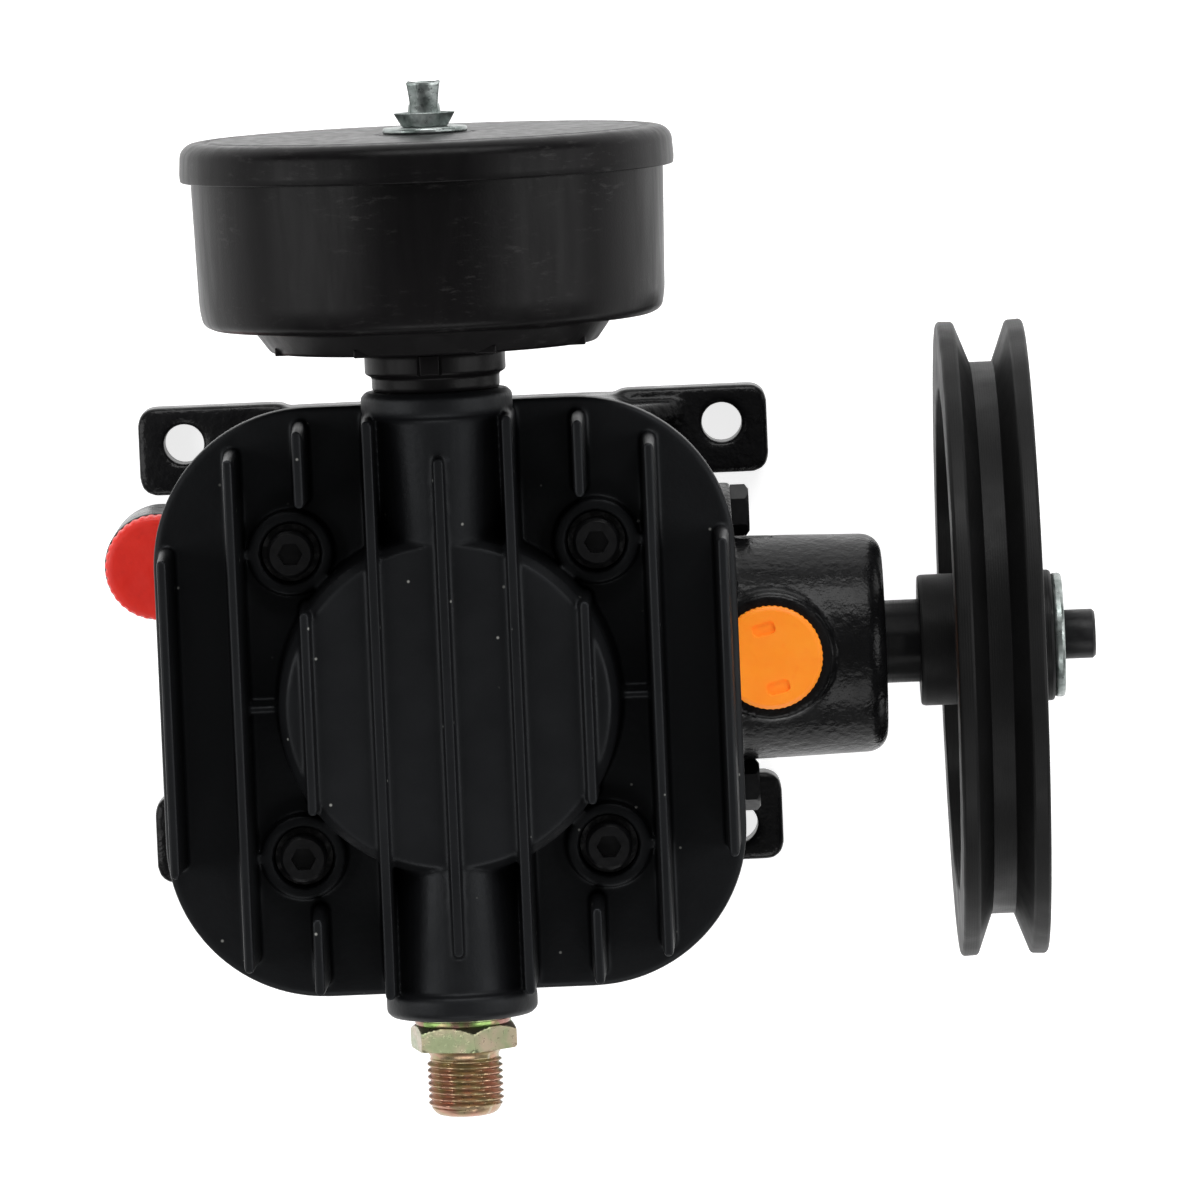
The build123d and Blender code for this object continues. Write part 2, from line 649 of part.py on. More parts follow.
def cylinder_head():
    body = slab(HEAD_X, HEAD_Y, HEAD_CORNER, HEAD_Z, SEAT_Z)
    body = fillet(body.edges().group_by(Axis.Z)[-1], 1.2)
    outline = [(0, SEAT_Z - 1), (DOME_R + 1, SEAT_Z - 1), (DOME_R, DOME_TOP - 3),
               (DOME_R - 2.5, DOME_TOP), (0, DOME_TOP)]
    body += turned(outline)
    for piece in head_fins() + head_webs() + [port(1), port(-1)]:
        body += piece
    for c in SCREWS:
        body += disc(11.8, SEAT_Z - 1, SEAT_Z + 6, centre=c)
        body -= disc(8.4, SEAT_Z, FIN_TOP + 1, centre=c)
    body -= chamber(1, HEAD_Z - 1, CHAMBER_TOP) + chamber(-1, HEAD_Z - 1, CHAMBER_TOP)
    body -= disc(NECK_SPIGOT_R + GAP, 74, PORT_Y + 1, "y", (0, PORT_Z))
    body -= disc(NECK_BORE_R, 30, 75, "y", (0, PORT_Z))
    body -= disc(OUTLET_STEM_R + GAP, -PORT_Y - 1, -74, "y", (0, PORT_Z))
    body -= disc(7, -75, -30, "y", (0, PORT_Z))
    return screw_holes(body, HEAD_Z - 1, SEAT_Z + 1)


def head_screws():
    seat = SEAT_Z + 1.6
    screws = []
    for c in SCREWS:
        head = disc(6.5, seat, seat + 8, centre=c)
        head = chamfer(head.edges().sort_by(Axis.Z)[-1], 0.8)
        head -= prism(6, seat + 4, seat + 9, centre=c)
        screws.append(head + disc(SCREW_R, DECK_Z - 20, seat, centre=c))
    return screws


def head_washers():
    return [ring(8, SCREW_R + 0.3, SEAT_Z, SEAT_Z + 1.6, centre=c) for c in SCREWS]


# ---------------------------------------------------------------- intake filter

FILTER_AXIS = (0, PORT_Z)


def filter_neck():
    outline = [(NECK_BORE_R, 75.5), (NECK_SPIGOT_R, 75.5), (NECK_SPIGOT_R, PORT_Y), (17.7, PORT_Y),
               (17.7, 91), (19.5, 91.5), (19.5, 97), (18.5, FILTER_FLOOR_Y), (NECK_BORE_R, FILTER_FLOOR_Y)]
    body = turned(outline, "y", FILTER_AXIS)
    for side in (-1, 1):
        window = block((side * 11 - 4, side * 11 + 4), (92.5, 96), (PORT_Z + 13.5, PORT_Z + 25))
        body -= window
    return body


def filter_housing():
    step = FILTER_STEP_Y
    top = FILTER_TOP_Y
    outline = [
        (16, FILTER_FLOOR_Y), (45, FILTER_FLOOR_Y), (49.5, step - 1), (50.5, step),
        (FILTER_R - 4, step), (FILTER_R - 1.8, step + 1.2), (FILTER_R - 1, step + 4),
        (FILTER_R, SKIRT_Y - 2), (FILTER_R, top), (FILTER_R - 2.5, top), (FILTER_R - 3.5, step + 3),
        (48, step + 3), (43, FILTER_FLOOR_Y + 2.5), (16, FILTER_FLOOR_Y + 2.5),
    ]
    body = turned(outline, "y", FILTER_AXIS)
    body += disc(7, FILTER_FLOOR_Y, FILTER_FLOOR_Y + 8, "y", FILTER_AXIS)
    thickness = (FILTER_FLOOR_Y, FILTER_FLOOR_Y + 2.5)
    body += block((-18, 18), thickness, (PORT_Z - 1.5, PORT_Z + 1.5))
    body += block((-1.5, 1.5), thickness, (PORT_Z - 18, PORT_Z + 18))
    return body - disc(STUD_R + GAP, FILTER_FLOOR_Y + 1, FILTER_FLOOR_Y + 9, "y", FILTER_AXIS)


def filter_element():
    low = FILTER_STEP_Y + 3.2
    high = FILTER_TOP_Y - 0.5
    media = ring(56, 34, low + 1, high - 1, "y", FILTER_AXIS)
    ends = ring(58, 32, low, low + 3, "y", FILTER_AXIS) + ring(58, 32, high - 3, high, "y", FILTER_AXIS)
    return media + ends


def filter_stud():
    return disc(STUD_R, FILTER_FLOOR_Y + 1.2, 171, "y", FILTER_AXIS)


def filter_cover():
    inner = FILTER_R + 0.4
    outline = [
        (STUD_R + 0.5, COVER_Y - 4), (COVER_R - 7, COVER_Y - 4), (inner, COVER_Y - 5.5),
        (inner, SKIRT_Y), (COVER_R, SKIRT_Y), (COVER_R - 0.6, COVER_Y - 2.4),
        (COVER_R - 2.6, COVER_Y - 0.5), (COVER_R - 6, COVER_Y), (STUD_R + 0.5, COVER_Y),
    ]
    return turned(outline, "y", FILTER_AXIS)


def filter_cover_washer():
    return ring(11.75, STUD_R + 0.4, COVER_Y, COVER_Y + 1.6, "y", FILTER_AXIS)


def wing_nut():
    """Boat-shaped base with a flared wing standing on each side of the stud."""
    seat = COVER_Y + 1.6
    base_x = 17.2
    foot_x = 13.4
    base_height = 4
    wing_height = 13.4
    rim = seat + base_height
    boat = Plane.XY * Polyline((-foot_x / 2, seat), (foot_x / 2, seat), (base_x / 2, rim),
                               (-base_x / 2, rim), close=True)
    body = Pos(0, 0, PORT_Z - 6.2) * extrude(make_face(boat), 12.4)
    body += disc(4.6, seat, seat + 6.5, "y", FILTER_AXIS)
    tip = seat + wing_height
    wing = Plane.XY * Polyline((-3.4, seat + 1), (3.4, seat + 1), (3.2, seat + 7), (4.6, tip),
                               (-4.6, tip), (-3.2, seat + 7), close=True)
    for z in (PORT_Z - 6.2, PORT_Z + 4.2):
        body += Pos(0, 0, z) * extrude(make_face(wing), 2)
    return body - disc(STUD_R + GAP, seat - 1, seat + 9, "y", FILTER_AXIS)


# ---------------------------------------------------------------- outlet and caps

def outlet_fitting():
    axis = (0, PORT_Z)
    hexagon = chamfered_hex(FITTING_FLATS, -96.3, -89, "y", axis, HEX_TURN)
    outline = [(0, -76), (OUTLET_STEM_R, -76), (OUTLET_STEM_R, -88), (13.35, -88), (13.35, -89.5), (9.6, -96),
               (9.6, THREAD_START), (THREAD_R, THREAD_START - 0.8), (THREAD_R, THREAD_END),
               (THREAD_R - 1, THREAD_END - 0.6), (THREAD_R - 2, FITTING_END + 0.9),
               (THREAD_R - 3.7, FITTING_END), (0, FITTING_END)]
    body = turned(outline, "y", axis) + hexagon
    return body - disc(FITTING_BORE_R, -75, FITTING_END - 1, "y", axis)


def outlet_washer():
    return ring(13.2, OUTLET_STEM_R + GAP, -88, -PORT_Y, "y", (0, PORT_Z))


def port_cap(centre, top_r, seat, height, stem_r, stem_length):
    """Push-in plug with a round top."""
    body = disc(top_r, seat, seat + height, centre=centre)
    body = fillet(body.edges().sort_by(Axis.Z)[-1], 1)
    stem = ring(stem_r - GAP, stem_r - 2.2, seat - stem_length, seat, centre=centre)
    return body + stem


def orange_cap():
    centre = (INLET_PORT_X, 0)
    body = port_cap(centre, 14.9, INLET_PORT_TOP, 3.4, INLET_PORT_R, 9)
    slots = extrude(RectangleRounded(6.7, 3.7, 1.2), 3)
    for side in (-1, 1):
        spot = Pos(INLET_PORT_X, 0, INLET_PORT_TOP + 1.9) * Rot(0, 0, 12) * Pos(0, side * 8.6, 0)
        body -= spot * slots
    return body


def red_cap():
    return port_cap((RETURN_PORT_X, RETURN_PORT_Y), 15.1, RETURN_PORT_TOP, 5.8, RETURN_PORT_R, 12)


# ---------------------------------------------------------------- export

PIECES = {
    "crankcase": crankcase,
    "drain_plug": drain_plug,
    "drain_washer": drain_washer,
    "front_housing": front_housing,
    "front_gasket": front_gasket,
    "front_bolts": front_bolts,
    "rear_cover": rear_cover,
    "rear_gasket": rear_gasket,
    "rear_bolts": rear_bolts,
    "shaft_seal": shaft_seal,
    "front_bearing_outer": lambda: bearing_outer(FRONT_BEARING_X),
    "front_bearing_inner": lambda: bearing_inner(FRONT_BEARING_X),
    "front_bearing_balls": lambda: bearing_balls(FRONT_BEARING_X),
    "rear_bearing_outer": lambda: bearing_outer(REAR_BEARING_X),
    "rear_bearing_inner": lambda: bearing_inner(REAR_BEARING_X),
    "rear_bearing_balls": lambda: bearing_balls(REAR_BEARING_X),
    "crankshaft": crankshaft,
    "gallery_plug": gallery_plug,
    "pulley_key": pulley_key,
    "pulley": pulley,
    "pulley_washer": pulley_washer,
    "pulley_bolt": pulley_bolt,
    "big_end_block": big_end_block,
    "big_end_cap": big_end_cap,
    "big_end_shells": big_end_shells,
    "big_end_bolts": big_end_bolts,
    "connecting_rod": connecting_rod,
    "small_end_bush": small_end_bush,
    "gudgeon_pin": gudgeon_pin,
    "gudgeon_circlips": gudgeon_circlips,
    "piston": piston,
    "top_ring": lambda: piston_ring(RING_GROOVES["top_ring"]),
    "second_ring": lambda: piston_ring(RING_GROOVES["second_ring"]),
    "oil_ring": lambda: piston_ring(OIL_GROOVE),
    "cylinder": cylinder,
    "cylinder_base_gasket": cylinder_base_gasket,
    "valve_plate_gasket": valve_plate_gasket,
    "valve_plate": valve_plate,
    "suction_reed": suction_reed,
    "delivery_reed": delivery_reed,
    "delivery_valve_stop": delivery_valve_stop,
    "valve_rivets": valve_rivets,
    "head_gasket": head_gasket,
    "cylinder_head": cylinder_head,
    "head_screws": head_screws,
    "head_washers": head_washers,
    "filter_neck": filter_neck,
    "filter_housing": filter_housing,
    "filter_element": filter_element,
    "filter_stud": filter_stud,
    "filter_cover": filter_cover,
    "filter_cover_washer": filter_cover_washer,
    "wing_nut": wing_nut,
    "outlet_fitting": outlet_fitting,
    "outlet_washer": outlet_washer,
    "orange_cap": orange_cap,
    "red_cap": red_cap,
}

for name, make in PIECES.items():
    shape = make()
    if isinstance(shape, list):
        shape = Compound(children=shape)
    export_step(shape, f"parts/{name}.step")
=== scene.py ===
import json
import math
import bmesh
import bpy
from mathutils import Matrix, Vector


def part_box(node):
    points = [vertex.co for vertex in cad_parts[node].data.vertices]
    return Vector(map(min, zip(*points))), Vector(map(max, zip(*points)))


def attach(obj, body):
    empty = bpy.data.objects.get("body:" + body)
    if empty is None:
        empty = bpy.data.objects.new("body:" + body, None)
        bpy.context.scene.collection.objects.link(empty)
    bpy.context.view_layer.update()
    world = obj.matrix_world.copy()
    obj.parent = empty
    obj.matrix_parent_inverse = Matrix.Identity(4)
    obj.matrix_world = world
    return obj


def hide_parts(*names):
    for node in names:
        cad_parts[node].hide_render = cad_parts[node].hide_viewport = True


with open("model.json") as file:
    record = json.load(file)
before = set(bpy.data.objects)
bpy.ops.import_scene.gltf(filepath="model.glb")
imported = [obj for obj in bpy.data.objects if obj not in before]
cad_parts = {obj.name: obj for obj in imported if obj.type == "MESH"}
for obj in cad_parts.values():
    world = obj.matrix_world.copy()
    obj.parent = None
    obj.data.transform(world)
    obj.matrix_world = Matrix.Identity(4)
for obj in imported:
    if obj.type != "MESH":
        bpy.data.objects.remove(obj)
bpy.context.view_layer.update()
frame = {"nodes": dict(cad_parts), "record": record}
NODES = frame["nodes"]
SLOT_OF = {part["node"]: part["material_slot"] for part in frame["record"]["subparts"]}

MM = 0.001
PORT_Z = 0.225        # height of the intake and outlet axis
CRANK_Z = 0.095       # height of the crankshaft axis


# ---------------------------------------------------------------- shader tools

class Shader:
    """A Principled material with short calls for the nodes that feed it."""

    def __init__(self, name, metallic=0.0, roughness=0.5, specular=0.5, coat=0.0, coat_roughness=0.1):
        self.material = bpy.data.materials.new(name)
        self.material.use_nodes = True
        self.tree = self.material.node_tree
        self.surface = self.tree.nodes["Principled BSDF"]
        self.surface.inputs["Metallic"].default_value = metallic
        self.surface.inputs["Roughness"].default_value = roughness
        self.surface.inputs["Specular IOR Level"].default_value = specular
        self.surface.inputs["Coat Weight"].default_value = coat
        self.surface.inputs["Coat Roughness"].default_value = coat_roughness
        self.place = self.tree.nodes.new("ShaderNodeTexCoord").outputs["Object"]

    def link(self, output, target):
        self.tree.links.new(output, target)

    def stretched(self, scale):
        """Object position scaled by a different amount along each axis."""
        mapping = self.tree.nodes.new("ShaderNodeMapping")
        mapping.inputs["Scale"].default_value = scale
        self.link(self.place, mapping.inputs["Vector"])
        return mapping.outputs["Vector"]

    def noise(self, size, detail=3.0, roughness=0.55, distortion=0.0, place=None):
        """Noise whose features are about size metres across."""
        made = self.tree.nodes.new("ShaderNodeTexNoise")
        made.inputs["Scale"].default_value = 1 / size
        made.inputs["Detail"].default_value = detail
        made.inputs["Roughness"].default_value = roughness
        made.inputs["Distortion"].default_value = distortion
        self.link(place or self.place, made.inputs["Vector"])
        return made.outputs["Fac"]

    def cells(self, size):
        """Distance to the nearest of points about size metres apart."""
        made = self.tree.nodes.new("ShaderNodeTexVoronoi")
        made.inputs["Scale"].default_value = 1 / size
        self.link(self.place, made.inputs["Vector"])
        return made.outputs["Distance"]

    def ramp(self, value, low, high, start=0.0, end=1.0):
        """Value stretched from low..high to start..end, and held outside it."""
        made = self.tree.nodes.new("ShaderNodeMapRange")
        made.inputs["From Min"].default_value = low
        made.inputs["From Max"].default_value = high
        made.inputs["To Min"].default_value = start
        made.inputs["To Max"].default_value = end
        self.link(value, made.inputs["Value"])
        return made.outputs["Result"]

    def math(self, operation, first, second):
        """Arithmetic on two outputs, or on an output and a number."""
        made = self.tree.nodes.new("ShaderNodeMath")
        made.operation = operation
        for value, target in zip((first, second), made.inputs):
            if isinstance(value, (int, float)):
                target.default_value = value
            else:
                self.link(value, target)
        return made.outputs["Value"]

    def mix(self, amount, first, second):
        """Colour between first and second. The colour sockets come after the float and vector ones."""
        made = self.tree.nodes.new("ShaderNodeMix")
        made.data_type = "RGBA"
        self.link(amount, made.inputs["Factor"])
        for value, target in ((first, made.inputs[6]), (second, made.inputs[7])):
            if isinstance(value, tuple):
                target.default_value = (*value, 1.0)
            else:
                self.link(value, target)
        return made.outputs[2]

    def edges(self, low, high):
        """One along the sharp outer edges of a finely divided mesh, zero elsewhere."""
        geometry = self.tree.nodes.new("ShaderNodeNewGeometry")
        return self.ramp(geometry.outputs["Pointiness"], low, high)

    def axis_distance(self, axis, centre):
        """Distance from a line along an axis through centre."""
        split = self.tree.nodes.new("ShaderNodeSeparateXYZ")
        self.link(self.place, split.inputs["Vector"])
        total = None
        for name, middle in zip([n for n in "XYZ" if n != axis], centre):
            offset = self.math("SUBTRACT", split.outputs[name], middle)
            square = self.math("MULTIPLY", offset, offset)
            total = square if total is None else self.math("ADD", total, square)
        return self.math("SQRT", total, 0.0)

    def position(self, axis):
        """One coordinate of the object position."""
        split = self.tree.nodes.new("ShaderNodeSeparateXYZ")
        self.link(self.place, split.inputs["Vector"])
        return split.outputs[axis]

    def colour(self, value):
        if isinstance(value, tuple):
            self.surface.inputs["Base Color"].default_value = (*value, 1.0)
        else:
            self.link(value, self.surface.inputs["Base Color"])

    def rough(self, value):
        self.link(value, self.surface.inputs["Roughness"])

    def bump(self, *layers):
        """Relief from (height output, depth in metres) layers."""
        normal = None
        for height, depth in layers:
            made = self.tree.nodes.new("ShaderNodeBump")
            made.inputs["Strength"].default_value = 1.0
            made.inputs["Distance"].default_value = depth
            self.link(height, made.inputs["Height"])
            if normal is not None:
                self.link(normal, made.inputs["Normal"])
            normal = made.outputs["Normal"]
        self.link(normal, self.surface.inputs["Normal"])


# ---------------------------------------------------------------- materials

def cast_paint():
    """Glossy black paint that has flowed over rough sand-cast iron."""
    m = Shader("cast_paint", specular=0.14, coat=0.03, coat_roughness=0.15)
    blotch = m.noise(0.035, 4)
    worn = m.math("MULTIPLY", m.edges(0.56, 0.68), m.ramp(m.noise(0.006, 4), 0.54, 0.68))
    black = m.mix(m.ramp(blotch, 0.35, 0.7), (0.0030, 0.0030, 0.0033), (0.0065, 0.0065, 0.0070))
    m.colour(m.mix(worn, black, (0.030, 0.029, 0.028)))
    m.rough(m.ramp(m.noise(0.010, 5), 0.3, 0.7, 0.20, 0.36))
    m.bump((m.noise(0.0024, 2, 0.5), 0.00032), (m.noise(0.0009, 2), 0.00010))
    return m.material


def head_paint():
    """Satin black coating on die-cast aluminium, with dust, and fin edges lightened both as rubbed paint and
    as a painted highlight on the fin tips.
    """
    m = Shader("head_paint", roughness=0.40, specular=0.17)
    m.surface.inputs["Specular Tint"].default_value = (0.92, 0.96, 1.0, 1.0)
    dust = m.math("MULTIPLY", m.ramp(m.cells(0.0075), 0.070, 0.030), m.ramp(m.noise(0.020, 2), 0.44, 0.50))
    tone = m.mix(m.ramp(m.noise(0.05, 5), 0.3, 0.7), (0.0026, 0.0027, 0.0031), (0.0050, 0.0052, 0.0059))
    # Lighter fin edges: partly rubbed paint, partly a painted highlight on the fin tips.
    rubbed = m.math("MULTIPLY", m.edges(0.53, 0.60), m.ramp(m.noise(0.012, 4), 0.35, 0.62, 0.25, 1.0))
    rubbed_and_highlit_edges = m.mix(m.math("MULTIPLY", rubbed, 0.22), tone, (0.044, 0.047, 0.054))
    m.colour(m.mix(m.math("MULTIPLY", dust, 0.7), rubbed_and_highlit_edges, (0.30, 0.30, 0.28)))
    m.rough(m.ramp(m.noise(0.018, 5), 0.3, 0.7, 0.40, 0.54))
    m.bump((m.noise(0.0014, 3), 0.00007), (m.noise(0.010, 2), 0.00012))
    return m.material


def pulley_paint():
    """Satin black paint over a turned surface, with fine tool marks round the axis."""
    m = Shader("pulley_paint", roughness=0.45, specular=0.12)
    radius = m.axis_distance("X", (0.0, CRANK_Z))
    turning = m.math("SINE", m.math("MULTIPLY", m.math("ADD", radius, m.position("X")), 9000.0), 0.0)
    tone = m.mix(m.ramp(m.noise(0.03, 5), 0.35, 0.7), (0.0040, 0.0040, 0.0040), (0.0074, 0.0074, 0.0076))
    rubbed = m.math("MULTIPLY", m.edges(0.53, 0.62), m.ramp(m.noise(0.01, 4), 0.48, 0.66))
    m.colour(m.mix(rubbed, tone, (0.055, 0.055, 0.053)))
    m.rough(m.ramp(m.noise(0.012, 4), 0.3, 0.7, 0.38, 0.54))
    m.bump((turning, 0.000012), (m.noise(0.0009, 2), 0.00003))
    return m.material


def filter_plastic():
    """Black moulded plastic with faint flow streaks and scuffs along the axis."""
    m = Shader("filter_plastic", roughness=0.50, specular=0.09)
    streaks = m.noise(0.004, 4, 0.6, 0.3, m.stretched((1.0, 0.12, 1.0)))
    fine = m.noise(0.0016, 5, 0.7, place=m.stretched((0.3, 1.0, 0.3)))
    scuffs = m.math("MULTIPLY", m.ramp(fine, 0.55, 0.70), m.ramp(m.noise(0.022, 3), 0.46, 0.60))
    tone = m.mix(m.ramp(m.noise(0.06, 3), 0.35, 0.7), (0.0026, 0.0024, 0.0026), (0.0046, 0.0042, 0.0045))
    m.colour(m.mix(m.math("MULTIPLY", scuffs, 0.22), tone, (0.075, 0.073, 0.072)))
    m.rough(m.ramp(streaks, 0.35, 0.7, 0.30, 0.42))
    m.bump((m.noise(0.0007, 2), 0.000025), (streaks, 0.00003))
    return m.material


def cap_plastic(name, dark, light, soft):
    """Soft translucent cap plastic with a faint moulded grain, and a painted glow in its lighter colour that
    makes it read brighter.
    """
    m = Shader(name, roughness=0.42, specular=0.35)
    m.surface.inputs["Subsurface Weight"].default_value = 0.25
    m.surface.inputs["Subsurface Radius"].default_value = soft
    m.surface.inputs["Subsurface Scale"].default_value = 0.002
    # Painted glow: the cap emits a little of its lighter colour, though it is no lamp.
    m.surface.inputs["Emission Color"].default_value = (*light, 1.0)
    m.surface.inputs["Emission Strength"].default_value = 0.22
    shade = m.noise(0.012, 3)
    smudge = m.math("MULTIPLY", m.ramp(m.noise(0.004, 4), 0.60, 0.72), 0.35)
    m.colour(m.mix(smudge, m.mix(m.ramp(shade, 0.3, 0.7), dark, light), tuple(0.72 * c for c in dark)))
    m.rough(m.ramp(m.noise(0.005, 4), 0.3, 0.7, 0.36, 0.52))
    m.bump((m.noise(0.0009, 3), 0.00004), (m.noise(0.006, 2), 0.00010))
    return m.material


def yellow_zinc():
    """Yellow zinc: green and pink on the flange, grey gold on the hexagon, copper on the thread."""
    m = Shader("yellow_zinc", metallic=0.9, roughness=0.3)
    drift = m.noise(0.0060, 2, 0.5, 0.4)
    station = m.position("Y")
    flange = m.mix(m.ramp(drift, 0.42, 0.56), (0.21, 0.32, 0.10), (0.32, 0.17, 0.14))
    hexagon = m.mix(m.ramp(drift, 0.38, 0.62), (0.25, 0.28, 0.16), (0.38, 0.31, 0.22))
    thread = m.mix(m.ramp(drift, 0.38, 0.62), (0.33, 0.27, 0.15), (0.43, 0.24, 0.17))
    plated = m.mix(m.ramp(station, -0.0900, -0.0894), hexagon, flange)
    plated = m.mix(m.ramp(station, -0.0974, -0.0962, 1.0, 0.0), plated, thread)
    pale = m.math("MULTIPLY", m.edges(0.58, 0.68), 0.5)
    m.colour(m.mix(pale, plated, (0.55, 0.50, 0.40)))
    m.rough(m.ramp(m.noise(0.0012, 5), 0.3, 0.7, 0.24, 0.42))
    drawn = m.noise(0.002, 2, place=m.stretched((1.0, 0.2, 1.0)))
    m.bump((m.noise(0.0005, 4), 0.00002), (drawn, 0.00002))
    return m.material


def plated_steel():
    """Bright zinc plate with rolled grain and dull patches."""
    m = Shader("plated_steel", metallic=0.92, roughness=0.34)
    patch = m.noise(0.005, 5)
    m.colour(m.mix(m.ramp(patch, 0.35, 0.68), (0.13, 0.155, 0.145), (0.36, 0.39, 0.38)))
    m.rough(m.ramp(m.noise(0.0016, 5), 0.3, 0.7, 0.22, 0.50))
    m.bump((m.noise(0.0008, 4), 0.00004), (m.noise(0.0030, 2), 0.00006))
    return m.material


def black_oxide():
    """Black oxidised hardened steel with bright rubbed corners."""
    m = Shader("black_oxide", roughness=0.38, specular=0.2)
    rubbed = m.math("MULTIPLY", m.edges(0.54, 0.64), m.ramp(m.noise(0.003, 3), 0.45, 0.62))
    tone = m.mix(m.ramp(m.noise(0.004, 4), 0.3, 0.7), (0.0045, 0.0045, 0.0050), (0.0090, 0.0090, 0.0098))
    m.colour(m.mix(rubbed, tone, (0.07, 0.07, 0.07)))
    m.rough(m.ramp(m.noise(0.002, 4), 0.3, 0.7, 0.30, 0.50))
    m.bump((m.noise(0.0007, 3), 0.00003),)
    return m.material


def worked_metal(name, dark, light, low, high, metallic=1.0):
    """Machined metal with fine turning lines across the crankshaft direction."""
    m = Shader(name, metallic=metallic, roughness=0.3)
    lines = m.noise(0.004, 3, place=m.stretched((12.0, 0.6, 0.6)))
    m.colour(m.mix(m.ramp(m.noise(0.008, 4), 0.3, 0.7), dark, light))
    m.rough(m.ramp(lines, 0.3, 0.7, low, high))
    m.bump((lines, 0.00002), (m.noise(0.0008, 3), 0.00001))
    return m.material


def crank_steel():
    """Ground steel journals, with the stretch outside the housing blacked like the pulley."""
    m = Shader("crank_steel", metallic=1.0, roughness=0.3, specular=0.18)
    bright = m.mix(m.ramp(m.noise(0.008, 4), 0.3, 0.7), (0.42, 0.42, 0.43), (0.58, 0.58, 0.58))
    blacked = m.ramp(m.position("X"), 0.1195, 0.1200)
    black = m.mix(m.ramp(m.noise(0.006, 4), 0.3, 0.7), (0.0040, 0.0040, 0.0043), (0.0070, 0.0070, 0.0074))
    m.colour(m.mix(blacked, bright, black))
    m.link(m.ramp(blacked, 0.0, 1.0, 1.0, 0.1), m.surface.inputs["Metallic"])
    lines = m.noise(0.004, 3, place=m.stretched((12.0, 0.6, 0.6)))
    m.rough(m.math("ADD", m.ramp(lines, 0.3, 0.7, 0.18, 0.34), m.math("MULTIPLY", blacked, 0.16)))
    m.bump((lines, 0.00002), (m.noise(0.0008, 3), 0.00001))
    return m.material


def fibrous(name, dark, light, size, depth):
    """Rubber, gasket sheet or filter paper: a dull body with a fine grain."""
    m = Shader(name, roughness=0.8, specular=0.3)
    grain = m.noise(size, 6, 0.7)
    m.colour(m.mix(m.ramp(grain, 0.3, 0.7), dark, light))
    m.rough(m.ramp(grain, 0.3, 0.7, 0.68, 0.92))
    m.bump((grain, depth),)
    return m.material


MATERIALS = {
    "cast_paint": cast_paint(),
    "head_paint": head_paint(),
    "pulley_paint": pulley_paint(),
    "filter_plastic": filter_plastic(),
    "red_plastic": cap_plastic(
        "red_plastic", (0.50, 0.012, 0.008), (0.62, 0.024, 0.014), (1.0, 0.2, 0.1)),
    "orange_plastic": cap_plastic(
        "orange_plastic", (0.94, 0.235, 0.010), (1.0, 0.30, 0.018), (1.0, 0.4, 0.1)),
    "yellow_zinc": yellow_zinc(),
    "zinc": plated_steel(),
    "black_oxide": black_oxide(),
    "machined_steel": worked_metal("machined_steel", (0.42, 0.42, 0.43), (0.58, 0.58, 0.58), 0.18, 0.36),
    "bare_aluminium": worked_metal("bare_aluminium", (0.60, 0.60, 0.61), (0.75, 0.75, 0.75), 0.28, 0.50),
    "ring_iron": worked_metal("ring_iron", (0.15, 0.15, 0.15), (0.24, 0.24, 0.23), 0.30, 0.50, 0.9),
    "bearing_bronze": worked_metal("bearing_bronze", (0.45, 0.26, 0.10), (0.62, 0.40, 0.17), 0.25, 0.42),
    "gasket_fibre": fibrous("gasket_fibre", (0.035, 0.045, 0.04), (0.07, 0.085, 0.075), 0.0012, 0.00006),
    "seal_rubber": fibrous("seal_rubber", (0.010, 0.010, 0.010), (0.022, 0.022, 0.022), 0.0010, 0.00004),
    "filter_paper": fibrous("filter_paper", (0.60, 0.50, 0.30), (0.74, 0.66, 0.44), 0.0009, 0.00008),
}

CRANK_STEEL = crank_steel()


# ---------------------------------------------------------------- mesh tools

def body_of(node):
    """Name of the moving body that a CAD node belongs to."""
    for body, members in frame["record"]["behaviour"]["bodies"].items():
        if node in members:
            return body


def finish_mesh(mesh, sharp):
    """Smooth shading that keeps true edges crisp."""
    mesh.shade_smooth()
    mesh.set_sharp_from_angle(angle=math.radians(sharp))


def stand_in(name, mesh, node, sharp=32):
    """Show a detailed mesh in place of a CAD node, with edges over sharp degrees kept crisp."""
    mesh.name = name
    finish_mesh(mesh, sharp)
    piece = bpy.data.objects.new(name, mesh)
    bpy.context.scene.collection.objects.link(piece)
    mesh.materials.clear()
    mesh.materials.append(MATERIALS[SLOT_OF[node]])
    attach(piece, body_of(node))
    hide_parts(node)


def softened(corners, steps=5):
    """Closed profile from (radius, station, rounding) corners, in millimetres, with arcs at the corners."""
    points = []
    count = len(corners)
    for i, (r, h, rounding) in enumerate(corners):
        here = Vector((r, h))
        if rounding <= 0:
            points.append(here)
            continue
        before = Vector(corners[i - 1][:2]) - here
        after = Vector(corners[(i + 1) % count][:2]) - here
        reach = min(rounding, before.length * 0.49, after.length * 0.49)
        start = here + before.normalized() * reach
        end = here + after.normalized() * reach
        for step in range(steps + 1):
            t = step / steps
            points.append(start * (1 - t) ** 2 + here * 2 * t * (1 - t) + end * t ** 2)
    return [(p.x, p.y) for p in points]


